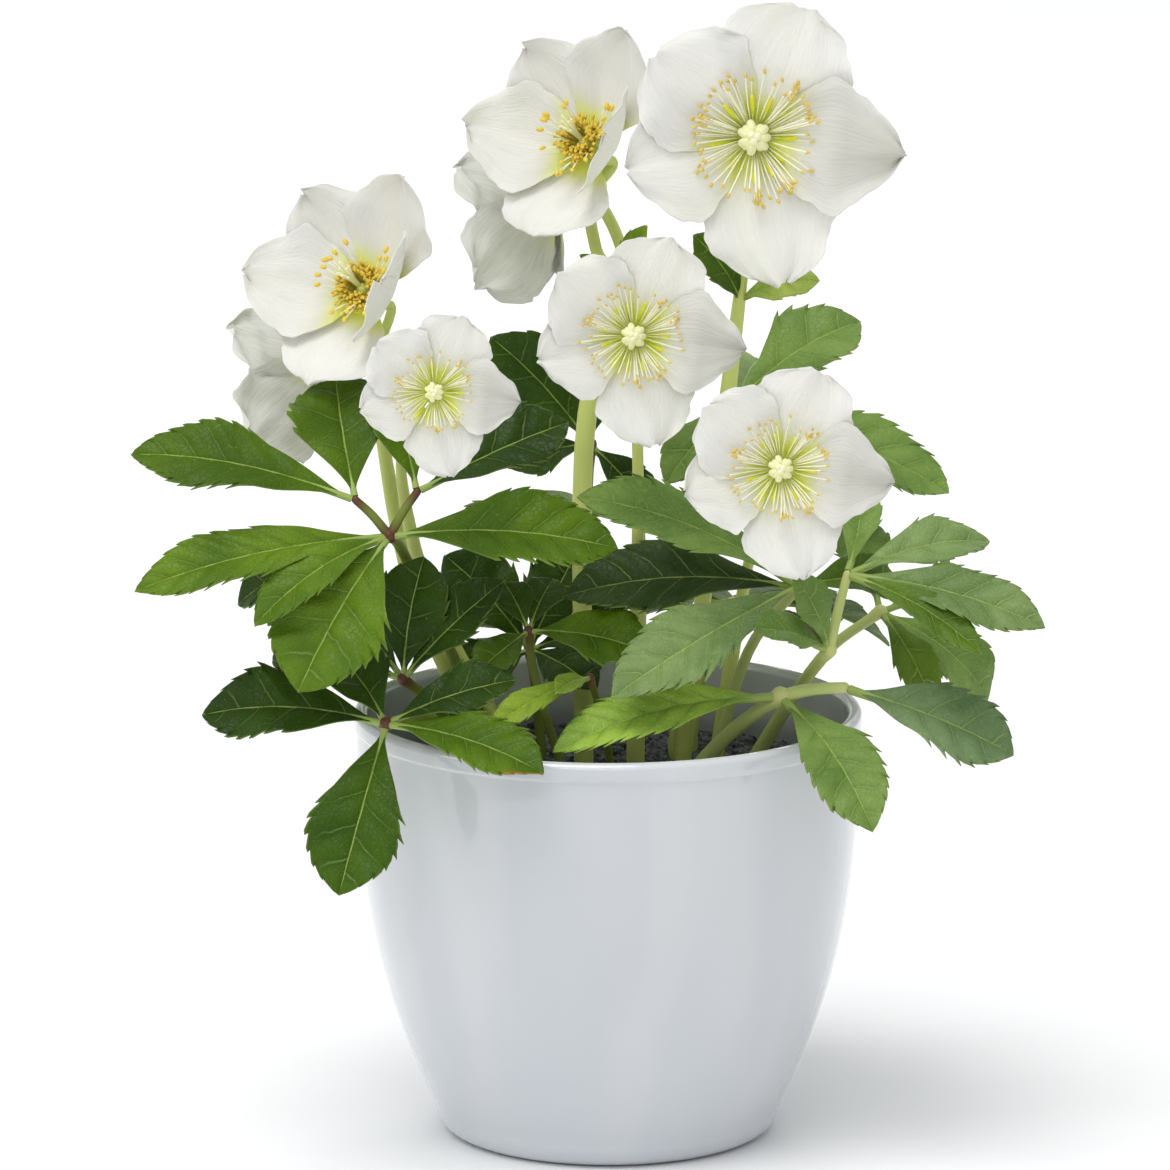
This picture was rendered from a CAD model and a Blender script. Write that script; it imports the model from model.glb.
"""A hellebore in bloom in a glazed pot: the finished leaves, blooms, stalks, glaze and soil.

Metres, +Z up. The blooms face -Y. Each piece takes the place of the solid that carries its name,
except one low leaf in the shade of the others, which has no solid.
"""

import math
import random
from collections import namedtuple

import bmesh
import bpy
import numpy as np
from mathutils import Matrix, Vector, noise


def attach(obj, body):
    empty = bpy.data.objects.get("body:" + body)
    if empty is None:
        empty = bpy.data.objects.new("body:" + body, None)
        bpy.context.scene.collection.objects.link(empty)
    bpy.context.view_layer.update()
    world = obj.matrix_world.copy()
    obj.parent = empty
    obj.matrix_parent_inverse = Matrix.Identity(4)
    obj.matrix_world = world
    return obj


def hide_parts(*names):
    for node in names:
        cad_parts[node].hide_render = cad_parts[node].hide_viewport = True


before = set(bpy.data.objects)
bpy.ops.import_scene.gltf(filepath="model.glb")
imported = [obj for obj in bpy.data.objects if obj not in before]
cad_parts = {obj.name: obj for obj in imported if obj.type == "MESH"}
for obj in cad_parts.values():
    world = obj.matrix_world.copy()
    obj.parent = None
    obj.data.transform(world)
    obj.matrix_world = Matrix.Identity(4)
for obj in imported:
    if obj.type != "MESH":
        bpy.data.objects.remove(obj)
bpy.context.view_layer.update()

SEED = 11
UP = np.array((0.0, 0.0, 1.0))
GOLDEN_ANGLE = 2.39996
MERGE = 0.000001

# The pot and its soil, as the solids have them.
POT_HEIGHT = 0.143
LIP_RADIUS = 0.0842
LIP_HEIGHT = 0.007
LIP_HALF = 0.0025
LIP_STEP = 0.0012
NECK_RADIUS = 0.0834
BELLY_PULLS = ((0.0834, 0.085), (0.0780, 0.052))
FOOT_RADIUS = 0.0575
FOOT_HEIGHT = 0.009
BASE_RADIUS = 0.0500
WALL = 0.0042
FLOOR = 0.006
FLOOR_SLOPE = 0.006
INSIDE_FOOT = 0.016
INSIDE_TOP = 0.136
SOIL_TOP = 0.118
SOIL_MOUND = 0.003
SOIL_GAP = 0.0005
SOIL_LUMPS = ((0.0035, 60, 1), (0.0018, 210, 5))  # their height, their scale and a layer of noise
ROOT_DEPTH = 0.011  # a stalk ends 1 mm above the bottom of its hole
STRAIGHT_RISE = 0.007
TURNS = 144

# Leaf blades: their outline, teeth that lean towards the tip, and the relief of their veins.
LEAF_THICKNESS = 0.0007
USUAL_WIDTH = 0.026
BLADE_FOOT = 1.6
BLADE_TIP = 0.86
BLADE_HALF_MIN = 0.0008
FIRST_TOOTH = 0.28
LAST_TOOTH = 0.93
TOOTH_PITCH = 0.0078
TOOTH_DEPTH = 0.15
TOOTH_REACH = 0.030
LEAF_FOLD = 0.21
VEIN_LEAN = 0.16  # how far a side vein runs forward, as a share of the blade's length
VEIN_PITCH = 0.0110
QUILTING = 0.00115  # how high a blade swells between its side veins
WAVE = 0.0017
GROOVE = 0.0004
RIB_END = 0.00022
JOINT_TAPER = 0.8  # an arm between joints, as a share of the stalk, at its start and at its end
BRANCH_TAPER = 0.6

# The end of a stalk, in its bloom's own frame, whose axis is Z: level and half width.
HEART_FOOT = -0.0072
HEART = (
    (-0.0056, 0.0026), (-0.0040, 0.0037), (-0.0030, 0.0042), (-0.0022, 0.00378),
    (-0.0019, 0.0026), (0.0052, 0.00234),
)
CARPEL_FOOT = 0.0044
NOD = 0.013  # how far behind a bloom its stalk already follows the bloom's axis
BRANCH_SHARE = 0.62
STYLE_LEAN = np.array((-0.16, 0.16, 0.0))

# Blooms: sepals on a shallow cup, and the ring of stamens.
LARGEST_BLOOM = 0.049
SEPAL_ROOT = 0.0032
SEPAL_THICKNESS = 0.0006
LAYER_STEP = 0.0012  # how much higher a sepal lies on another, and how many degrees steeper
LAYER_ANGLE = 2.4
ROUNDNESS = 0.85
RIPPLE = 0.04
POINTED = 0.62  # a sepal whose shoulder is no wider than this has a pointed tip
TIP_ROUNDING = 0.15
NECTARY_RING = 0.0040
NECTARY_LEVEL = 0.0024
NECTARY_WIDTHS = np.array((0.0005, 0.0008, 0.0009, 0.0006))
STAMEN_REACH = 0.40

# Where the leaves' faces turn, in front and behind the pot.
FRONT_LIGHT = (0, -0.62, 0.78)
REAR_LEAN = 0.5

Leaflet = namedtuple("Leaflet", "joint tip width tint arch scorch", defaults=(None, 0.08, 0))
Leaf = namedtuple("Leaf", "name root via joints radius tint leaflets")
Sepal = namedtuple("Sepal", "direction length layer shoulder lift shade", defaults=(0, 1.0))
Shape = namedtuple("Shape", "cup reflex spread sepals")
Bloom = namedtuple("Bloom", "name centre facing shape size width stamens")
Stem = namedtuple("Stem", "name root via radius bracts branches")


def paint(red, green, blue):
    """A colour as a screen shows it, each part from 0 to 255, as the shaders take it."""
    return np.array([(part / 255) ** 2.2 for part in (red, green, blue)])


# Colours of the leaves and the bracts, then of the stalks.
DARK = paint(48, 74, 4)
GREEN = paint(76, 104, 4)
DEEP = paint(58, 86, 2)
FRESH = paint(162, 198, 76)
PALE = paint(92, 122, 24)
COOL = paint(112, 141, 66)
DUSTY = paint(120, 145, 86)
SHADED = paint(104, 128, 86)
YOUNG = paint(118, 144, 36)
BRACT = paint(176, 196, 96)
UNDERSIDE = paint(120, 142, 88)
MIDRIB = paint(164, 186, 96)
SCORCH = paint(176, 98, 58)
STALK = paint(208, 217, 124)
OLIVE_STALK = paint(118, 132, 52)
PALE_STALK = paint(184, 196, 118)
BROWN_JOINT = paint(96, 58, 40)
PALE_JOINT = paint(198, 202, 128)
BLUSH = paint(190, 158, 104)

# Whites of the sepals, and their green heart.
WHITE = paint(240, 238, 229)
CREASE_GREY = paint(216, 216, 205)
CREAM = paint(238, 236, 208)
GREENISH = paint(238, 238, 186)
HEART_GREEN = paint(242, 250, 100)
BACK_GREY = paint(186, 189, 181)

# Threads, anthers and nectaries, and the carpels from foot to tip.
THREAD_FOOT = paint(230, 236, 118)
SILK = paint(250, 248, 222)
PACKED_SILK = paint(222, 204, 96)
OPEN_GOLD = paint(222, 196, 98)
LEADING_GOLD = paint(232, 202, 80)
PACKED_GOLD = paint(218, 190, 70)
NECTARY_TINTS = np.array([
    paint(206, 220, 80), paint(208, 220, 66), paint(218, 222, 62), paint(226, 222, 66),
])
CARPEL_GREEN = paint(226, 230, 140)
CARPEL_CREAM = paint(247, 243, 206)

# The glaze, the soil and the floor.
GLAZE = paint(193, 197, 202)
GLAZE_CLOUD = paint(200, 203, 207)
GLAZE_RUN = paint(208, 209, 211)
GLAZE_FOOT = paint(194, 199, 205)
GLAZE_LIP = paint(220, 222, 225)
SOIL_STAIN = paint(120, 121, 124)
SOIL_DARK = paint(60, 61, 64)
SOIL_PALE = paint(106, 106, 108)
SOIL_SPECK = paint(150, 142, 128)
FLOOR_DARK = paint(251, 251, 251)
FLOOR_PALE = paint(254, 254, 254)


def metres(size):
    """Millimetres, alone or in lists of places, as metres."""
    return size / 1000 if isinstance(size, (int, float)) else tuple(metres(part) for part in size)


def blades(rows):
    """Leaflets from rows in millimetres: the joint, the tip, the width and what is a blade's own."""
    return [Leaflet(joint, metres(tip), metres(width), *own) for joint, tip, width, *own in rows]


def leaves(*rows):
    """Leaves from rows in millimetres: root, way up, joints, radius, then the green and the leaflets."""
    return [Leaf(name, *map(metres, sizes), tint, blades(parts)) for name, *sizes, tint, parts in rows]


FRONT_LEAVES = leaves(
    ("leaf_left_high", (-36, -4), [(-52, -13, 165), (-67, -24, 200)],
     [(-71, -45, 210), (-82, -45, 222), (-62, -42, 224)], 2.0, GREEN, [
        (1, (-155, -35, 235), 26), (1, (-89, -15, 257), 31, GREEN, 0.06), (2, (-73, -22, 252), 18),
        (2, (-13, -22, 243), 24, DARK), (0, (3, -55, 208), 29), (0, (-153, -60, 195), 21, PALE),
        (0, (-100, -75, 165), 37, PALE, 0.12), (0, (-114, -71, 186), 17, PALE, 0.12),
        (0, (-121, -30, 184), 24, DARK)]),
    ("leaf_left_low", (-40, -26), [(-57, -45, 149)], [(-72, -60, 151)], 2.0, GREEN, [
        (0, (-132, -52, 152), 26, DARK), (0, (-87, -85, 100), 29, DEEP, 0.05),
        (0, (-21, -96, 143), 22, GREEN, 0.05, 1), (0, (-30, -62, 166), 18, DARK),
        (0, (-89, -35, 168), 22, DARK)]),
    ("leaf_left_inner", (-45, -8), [(-56, -24, 148)], [(-67, -34, 160)], 1.8, DARK, [
        (0, (-60, -31, 200), 24), (0, (-34, -40, 194), 18), (0, (-110, -4, 162), 24),
        (0, (-92, 30, 174), 22)]),
    ("leaf_centre_young", (-14, -30), [(-24, -31, 160)], [(-26, -34, 176)], 1.5, GREEN, [
        (0, (-43, -52, 166), 14), (0, (14, -46, 171), 22), (0, (-34, -24, 190), 12, DARK),
        (0, (-18, -18, 190), 13, DARK)]),
    ("leaf_right_low", (26, -28), [(40, -34, 142)], [(56, -42, 156), (77, -38, 158)], 2.8, COOL, [
        (0, (-18, -66, 143), 20, FRESH), (0, (85, -88, 122), 24), (1, (132, -45, 137), 26, SHADED)]),
    ("leaf_right_high", (46, -12), [(60, -20, 150)], [(72, -36, 170), (78, -30, 194)], 2.2, COOL, [
        (0, (47, -58, 182), 16), (0, (60, -46, 197), 14), (1, (125, -15, 202), 18, DUSTY),
        (1, (142, -42, 179), 20, DUSTY), (1, (121, -54, 173), 13, PALE), (1, (84, -8, 218), 13)]),
    ("leaf_right_outer", (50, 6), [(70, 4, 158)], [(90, 5, 174)], 2.0, COOL, [
        (0, (126, 12, 142), 24, COOL, 0.16), (0, (107, -14, 146), 14, PALE, 0.16),
        (0, (131, 35, 172), 22), (0, (80, 30, 200), 18)]),
    ("leaf_centre_right", (34, -14), [(46, -16, 165)], [(62, -26, 189)], 2.0, GREEN, [
        (0, (-10, -40, 222), 23, COOL), (0, (-14, -26, 186), 28, DARK), (0, (1, -70, 162), 26, DUSTY),
        (0, (96, -6, 186), 18)]),
    ("leaf_back_left", (-8, 22), [(-8, 26, 175)], [(-6, 32, 225)], 2.0, DARK, [
        (0, (-39, 38, 260), 25), (0, (-33, 22, 219), 18), (0, (13, 26, 204), 16),
        (0, (-3, 72, 240), 22)]),
    ("leaf_back_right", (22, 26), [(34, 32, 180)], [(43, 30, 240)], 2.0, COOL, [
        (0, (84, 45, 264), 27), (0, (113, 20, 211), 23), (0, (19, 10, 216), 16),
        (0, (52, 80, 244), 22)]),
    ("leaf_front_young", (2, -34), [(-2, -42, 148)], [(-6, -50, 164)], 1.3, YOUNG, [
        (0, (-39, -74, 152), 10), (0, (-17, -68, 163), 8)]),
)

# A low leaf that fills the middle of the plant. It has no solid.
SHADE_LEAF = leaves(
    ("leaf_centre_shade", (-22, 12), [(-24, 13, 146)], [(-26, 10, 160)], 1.7, DARK, [
        (0, (-54, 14, 191), 26), (0, (-10, 16, 192), 22), (0, (12, 4, 166), 22),
        (0, (-4, -14, 152), 19), (0, (-50, -4, 151), 21)]),
)[0]

# Leaves behind the pot follow the same seeded rule as their solids.
REAR_BEARINGS = (52, 98, 146)
REAR_REACH = 0.068
REAR_RISES = (0.166, 0.194)
REAR_ROOT_REACH = 0.046
REAR_FAN = ((-88, 0.042), (-45, 0.056), (0, 0.061), (45, 0.056), (88, 0.042))
REAR_PITCH = -16
REAR_WIDTH = 0.42
REAR_SEED = 7

# A shape: how steep its sepals are at their roots and ends, and how far its stamens lean, in degrees.
# A sepal: its direction in degrees, its length as a share of the bloom's, its layer and its shoulder,
# then where they differ how far it is folded up and how light it is.
OPEN = Shape(30, 6, 48, (
    Sepal(140, 0.93, 1, 0.76), Sepal(69, 0.98, 0, 0.84), Sepal(-6, 1.06, 1, 0.56, 0, 0.62),
    Sepal(-79, 1.03, -1, 0.70), Sepal(194, 0.92, 0, 0.64),
))
CUPPED = Shape(12, 35, 30, (
    Sepal(136, 1.04, 0, 0.60, 0, 0.80), Sepal(74, 1.02, 1, 0.58, 0, 0.80), Sepal(186, 1.05, 1, 0.62, 0, 0.93),
    Sepal(262, 0.96, -1, 0.76), Sepal(-8, 0.82, 0, 0.62, 73, 1.14),
))
NODDING = Shape(26, 26, 20, (
    Sepal(-17, 1.22, -1, 0.84), Sepal(57, 0.92, 0, 0.76), Sepal(130, 0.88, -1, 0.76),
    Sepal(202, 0.80, 0, 0.76, 45), Sepal(270, 0.80, 1, 0.76, 45),
))
TURNED_UP = (-0.46, -0.66, 0.50)
TURNED_AWAY = (-0.60, 0.30, -0.45)

# Millimetres. A bloom's centre, where it faces, its shape, its sepals' length and width, and its stamens.
BLOOMS = {
    name: Bloom(name, metres(centre), facing, shape, metres(size), metres(width), stamens)
    for name, centre, facing, shape, size, width, stamens in (
        ("a", (47, -20, 337), (0, -1, 0.12), OPEN, 49, 46, 96),
        ("b", (-5, 20, 326), TURNED_UP, CUPPED, 41, 41, 18),
        ("b_back", (-19, 48, 302), TURNED_AWAY, NODDING, 38, 36, 34),
        ("c", (-77.5, -4, 281.5), TURNED_UP, CUPPED, 41, 41, 18),
        ("c_back", (-94, 28, 252), TURNED_AWAY, NODDING, 38, 36, 34),
        ("d", (-56, -62, 261), (0, -1, 0.16), OPEN, 28.0, 26.2, 64),
        ("e", (8, -44, 276), (0, -1, 0.14), OPEN, 36.5, 34.2, 76),
        ("f", (55, -72, 238), (0, -1, 0.16), OPEN, 36.5, 34.2, 76),
    )
}

# Millimetres. A stem's root, its way up, its radius, its bracts, and the way on to each of its blooms.
STEMS = [
    Stem(name, *map(metres, sizes), blades(bracts), {key: metres(via) for key, via in branches.items()})
    for name, *sizes, bracts, branches in (
        ("stem_a", (25, 8), [(34, 7, 200), (43, 7, 278)], 2.8,
         [(1, (28, 0, 301), 17, GREEN, 0.14), (1, (69, 0, 286), 15, BRACT, 0.12)], {"a": [(47, 4, 312)]}),
        ("stem_b", (-8, 2), [(-8, 2, 229), (1, 8, 280)], 3.2,
         [(1, (12.5, 4, 303.5), 9, YOUNG), (1, (-9, 3, 294), 7, YOUNG)],
         {"b": [(-4, 14, 294), (-6, 24, 309)], "b_back": [(5, 17, 290), (-1, 34, 303)]}),
        ("stem_c", (-40, 8), [(-64, 6, 180), (-75, 4, 236)], 2.6, [],
         {"c": [(-78, 2, 254)], "c_back": [(-75, 16, 252)]}),
        ("stem_d", (-28, -10), [(-58, -4, 180), (-68, -10, 226)], 2.2, [], {"d": [(-62, -24, 250)]}),
        ("stem_e", (9, -10), [(10, -9, 200)], 3.0, [], {"e": [(9, -12, 258)]}),
        ("stem_f", (36, 6), [(46, 0, 190)], 2.4, [], {"f": [(55, -22, 226)]}),
    )
]


class Wire:
    """A value in a node tree. Sums on it add Math nodes."""

    def __init__(self, graph, socket):
        self.graph = graph
        self.socket = socket

    def maths(self, operation, *others):
        """A Math node on this value, and on others where the operation takes them."""
        return self.graph.node("ShaderNodeMath", {"operation": operation}, (self, *others))

    def __add__(self, other):
        return self.maths("ADD", other)

    def __sub__(self, other):
        return self.maths("SUBTRACT", other)

    def __rsub__(self, other):
        return self * -1 + other

    def __mul__(self, other):
        return self.maths("MULTIPLY", other)

    __radd__ = __add__
    __rmul__ = __mul__


class Graph:
    """The nodes of a finish, or of a rule that grows geometry."""

    def __init__(self, tree):
        self.tree = tree

    def node(self, kind, settings=None, sockets=(), output=0):
        """A node of a kind, its settings, then its sockets' values or wires, and the wire out of it."""
        made = self.tree.nodes.new(kind)
        for name, value in (settings or {}).items():
            setattr(made, name, value)
        for key, value in sockets.items() if isinstance(sockets, dict) else enumerate(sockets):
            for part in value if isinstance(value, list) else [value]:
                if isinstance(part, Wire):
                    self.tree.links.new(part.socket, made.inputs[key])
                else:
                    made.inputs[key].default_value = part
        return Wire(self, made.outputs[output])

    def grow(self, kind, settings=None, **sockets):
        """A geometry node, with its sockets by name."""
        named = {name.replace("_", " "): value for name, value in sockets.items()}
        return self.node(f"GeometryNode{kind}", settings, named)

    def chance(self, low, high, seed):
        """A random number between two others, one for each point."""
        sockets = {2: low, 3: high, "Seed": seed}
        return self.node("FunctionNodeRandomValue", {"data_type": "FLOAT"}, sockets, 1)

    def vector(self, *parts):
        """Three numbers as one vector."""
        return self.node("ShaderNodeCombineXYZ", None, parts)

    def parts(self, wire):
        """The three numbers of a vector."""
        split = self.node("ShaderNodeSeparateXYZ", None, [wire])
        return [Wire(self, socket) for socket in split.socket.node.outputs]

    def mix(self, share, first, second, mode="MIX"):
        """One colour into another, where share goes from 0 to 1."""
        first, second = [shade if isinstance(shade, Wire) else (*shade, 1) for shade in (first, second)]
        settings = {"data_type": "RGBA", "blend_type": mode}
        return self.node("ShaderNodeMix", settings, {0: share, 6: first, 7: second}, 2)

    def dye(self, shade, second):
        """A colour times another."""
        return self.mix(1.0, shade, second, "MULTIPLY")

    def layers(self, shade, *coats):
        """A colour under coats of others, each with its share."""
        for share, coat in coats:
            shade = self.mix(share, shade, coat)
        return shade

    def step(self, value, low, high):
        """0 below low and 1 above high, with a smooth rise between, or a fall if high is the lower."""
        settings = {"interpolation_type": "SMOOTHSTEP"}
        ends = (1, 0) if low > high else (0, 1)
        return self.node("ShaderNodeMapRange", settings, (value, min(low, high), max(low, high), *ends))

    def grain(self, scale, detail=3.0, vector=None, roughness=0.5):
        """Soft random patches, from 0 to 1, of a size of about 1 / scale metres."""
        sockets = {"Scale": scale, "Detail": detail, "Roughness": roughness}
        sockets["Vector"] = vector or self.place()
        return self.node("ShaderNodeTexNoise", None, sockets)

    def place(self, stretch=(1, 1, 1)):
        """Where a point is on the piece, stretched along each axis."""
        spot = self.node("ShaderNodeTexCoord", output="Object")
        return self.node("ShaderNodeMapping", None, {"Vector": spot, "Scale": stretch})

    def read(self, name, output="Color"):
        """What the mesh carries under a name."""
        return self.node("ShaderNodeAttribute", {"attribute_name": name}, output=output)

    def bump(self, height, distance, strength):
        """Small relief: a height of 1 stands for a distance in metres."""
        sockets = {"Strength": strength, "Distance": distance, "Height": height}
        return self.node("ShaderNodeBump", None, sockets, "Normal")


def finish(name, **constants):
    """A new material, as its graph and a function that wires values into its shader."""
    made = bpy.data.materials.new(name)
    made.use_nodes = True
    shader = made.node_tree.nodes["Principled BSDF"]
    for key, value in constants.items():
        shader.inputs[key.replace("_", " ")].default_value = value
    graph = Graph(made.node_tree)

    def wear(**wires):
        for key, wire in wires.items():
            graph.tree.links.new(wire.socket, shader.inputs[key.replace("_", " ")])
        return made

    return graph, wear


def leaf_finish(name, shine, roughness, clear):
    """Green with a pale midrib, side veins in dark creases, a fine net between them and a paler rim."""
    graph, wear = finish(name, Specular_IOR_Level=shine)
    row, side, across = graph.parts(graph.read("blade", "Vector"))
    lane = (row + graph.grain(120, 2.0) * 0.35).maths("FRACT")
    off = (lane - 0.5).maths("ABSOLUTE")
    inside = graph.step(side, 1.0, 0.35)
    vein = graph.step(off, 0.045, 0.0) * inside
    crease = graph.step(off, 0.20, 0.06) * inside
    midrib = graph.step(across.maths("ABSOLUTE"), 0.70, 0.20)
    cells = {"Vector": graph.place(), "Scale": 520}
    net = graph.step(graph.node("ShaderNodeTexVoronoi", {"feature": "DISTANCE_TO_EDGE"}, cells), 0.10, 0.0)
    patch = graph.grain(45, 4.0)
    speck = graph.step(graph.grain(900, 1.0), 0.70, 0.76)
    tint = graph.read("tint")
    shade = graph.layers(
        graph.dye(tint, (1.22, 1.16, 1.15)),
        (graph.step(patch, 0.30, 0.66), graph.dye(tint, (0.66, 0.74, 0.60))),
        (net * (clear * 0.8), graph.dye(tint, (1.5, 1.4, 1.3))),
        (crease * 0.34, graph.dye(tint, (0.56, 0.66, 0.48))),
        (vein * clear, MIDRIB),
        (graph.step(side, 0.95, 1.0) * 0.22, MIDRIB),
        (midrib * 0.74, MIDRIB),
        (speck * 0.10, (0.70, 0.70, 0.45)),
    )
    return wear(
        Base_Color=shade,
        Roughness=graph.grain(160, 3.0) * 0.30 + roughness,
        Normal=graph.bump(net * -0.35 + vein * -0.8 + patch * 0.6, 0.0004, 0.8),
    )


def stalk_finish():
    """Smooth and slightly waxy, with fine streaks along the stalk."""
    graph, wear = finish("stalk_surface", Specular_IOR_Level=0.4)
    streak = graph.grain(700, 2.0, graph.place((1, 1, 0.06)))
    tint = graph.read("tint")
    shade = graph.layers(
        tint,
        (streak * 0.5, graph.dye(tint, (0.80, 0.86, 0.72))),
        (graph.step(graph.grain(90, 3.0), 0.60, 0.80) * 0.10, BLUSH),
    )
    return wear(Base_Color=shade, Roughness=streak * 0.2 + 0.36, Normal=graph.bump(streak, 0.0001, 0.4))


def sepal_finish():
    """White with a green heart, fine creases from root to tip, and greyer behind."""
    graph, wear = finish(
        "sepal_surface", Specular_IOR_Level=0.35, Subsurface_Weight=0.35, Subsurface_Scale=0.003,
        Subsurface_Radius=(1.0, 0.95, 0.8),
    )
    along, across, back = graph.parts(graph.read("petal", "Vector"))
    line = graph.vector(along * 1.6, across * 9, back * 3)
    crease = graph.grain(2.6, 4.0, line, 0.6)
    fine = graph.grain(9, 3.0, line)
    shade = graph.layers(
        WHITE,
        (graph.step(crease, 0.42, 0.78) * 0.34, CREASE_GREY),
        (graph.step(graph.grain(50, 3.0), 0.45, 0.8) * 0.35, CREAM),
        (graph.step(along, 0.50, 0.0) * 0.60, GREENISH),
        (graph.step(along, 0.34, 0.10) * 0.95, HEART_GREEN),
        (back * (graph.step(crease, 0.30, 0.72) * 0.26 + 0.52), BACK_GREY),
    )
    return wear(
        Base_Color=graph.dye(shade, graph.read("tint")),
        Roughness=fine * 0.2 + 0.45,
        Normal=graph.bump(crease * 1.4 + fine * 0.5, 0.0005, 0.6),
    )


def stamen_finish():
    """Cream threads and golden, grainy anthers."""
    graph, wear = finish("stamen_surface", Specular_IOR_Level=0.4)
    tint = graph.read("tint")
    patch = graph.grain(420, 2.0)
    shade = graph.mix(graph.step(patch, 0.45, 0.75) * 0.5, tint, graph.dye(tint, (0.86, 0.80, 0.60)))
    bump = graph.bump(graph.grain(2200), 0.0001, 0.5)
    return wear(Base_Color=shade, Roughness=patch * 0.2 + 0.45, Normal=bump)


def glaze_finish():
    """A thick pale grey glaze with soft runs and pinholes, paler on the lip and stained by the soil."""
    graph, wear = finish("glaze_surface", Coat_Roughness=0.06, Coat_Weight=0.8, Specular_IOR_Level=0.5)
    height = graph.parts(graph.place())[2]
    radius = graph.node("ShaderNodeVectorMath", {"operation": "LENGTH"}, [graph.place((1, 1, 0))], "Value")
    inside = graph.step(radius, 0.0815, 0.0802)
    stain = inside * graph.step(height, 0.100, 0.112) * graph.step(height, 0.1310, 0.1190)
    cloud = graph.grain(14, 3.0, graph.place((1, 1, 0.35)))
    run = graph.grain(30, 1.0, graph.place((1, 1, 0.03)))
    pinhole = graph.step(graph.grain(1100, 1.0), 0.80, 0.84)
    shade = graph.layers(
        GLAZE,
        (graph.step(cloud, 0.3, 0.7), GLAZE_CLOUD),
        (graph.step(run, 0.42, 0.62) * 0.7, GLAZE_RUN),
        (graph.step(height, 0.11, 0.0) * 0.5, GLAZE_FOOT),
        (stain * 0.7, SOIL_STAIN),
        (graph.step(height, 0.1400, 0.1425) * 0.5, GLAZE_LIP),
    )
    bump = graph.bump(graph.grain(24, 2.0) - pinhole * 0.15, 0.0006, 0.25)
    return wear(Base_Color=shade, Roughness=cloud * 0.06 + 0.16, Normal=bump)


def soil_finish():
    """Dark grey-brown crumbs with a few pale specks."""
    graph, wear = finish("soil_surface", Specular_IOR_Level=0.25)
    lump = graph.grain(260, 5.0)
    speck = graph.step(graph.grain(700, 1.0), 0.68, 0.74)
    shade = graph.layers(SOIL_DARK, (graph.step(lump, 0.35, 0.65), SOIL_PALE), (speck * 0.7, SOIL_SPECK))
    return wear(Base_Color=shade, Roughness=lump * 0.2 + 0.75, Normal=graph.bump(lump, 0.0012, 0.9))


def floor_finish():
    """An even pale floor, hardly cloudy."""
    graph, wear = finish("floor_surface", Specular_IOR_Level=0.2)
    cloud = graph.grain(3, 2.0)
    return wear(Base_Color=graph.mix(cloud, FLOOR_DARK, FLOOR_PALE), Roughness=cloud * 0.1 + 0.6)


class Rule:
    """A geometry nodes tree with named inputs, which grows onto a piece what it already has."""

    def __init__(self, name, **inputs):
        self.tree = bpy.data.node_groups.new(name, "GeometryNodeTree")
        self.graph = Graph(self.tree)
        for way in ("INPUT", "OUTPUT"):
            self.tree.interface.new_socket("Geometry", in_out=way, socket_type="NodeSocketGeometry")
        self.names = {}
        for label, kind in inputs.items():
            made = self.tree.interface.new_socket(label, in_out="INPUT", socket_type=f"NodeSocket{kind}")
            self.names[label] = made.identifier
        self.given = self.tree.nodes.new("NodeGroupInput")

    def read(self, label):
        """The wire of one of the rule's inputs."""
        return Wire(self.graph, self.given.outputs[label])

    def end(self, wire):
        """Closes the rule with what it has grown."""
        self.tree.links.new(wire.socket, self.tree.nodes.new("NodeGroupOutput").inputs[0])
        return self

    def use(self, obj, **values):
        """Puts the rule on an object, with its sizes."""
        modifier = obj.modifiers.new(self.tree.name, "NODES")
        modifier.node_group = self.tree
        for label, value in values.items():
            modifier[self.names[label]] = value


def stalk_rule(blade_material, stalk_material):
    """Rounds out every loose line to a stalk of its own thickness, and leaves the surfaces."""
    rule = Rule("stalks", Sides="Int")
    graph = rule.graph
    piece = rule.read("Geometry")
    edge_faces = graph.grow("InputMeshEdgeNeighbors")
    lines = graph.grow("MeshToCurve", Mesh=piece, Selection=edge_faces.maths("LESS_THAN", 0.5))
    section = graph.grow("CurvePrimitiveCircle", Resolution=rule.read("Sides"), Radius=1.0)
    thickness = graph.grow("InputNamedAttribute", {"data_type": "FLOAT"}, Name="thickness")
    tubes = graph.grow("CurveToMesh", Curve=lines, Profile_Curve=section, Scale=thickness, Fill_Caps=True)
    tubes = graph.grow("SetShadeSmooth", Geometry=tubes)
    surfaces = graph.grow("SeparateGeometry", {"domain": "EDGE"}, Geometry=piece, Selection=edge_faces)
    whole = graph.grow("JoinGeometry", Geometry=[tubes, surfaces])
    whole = graph.grow("RealizeInstances", Geometry=whole)
    whole = graph.grow("SetMaterial", Geometry=whole, Material=blade_material)
    round_parts = thickness.maths("GREATER_THAN", 0)
    return rule.end(graph.grow("SetMaterial", Geometry=whole, Selection=round_parts, Material=stalk_material))


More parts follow.
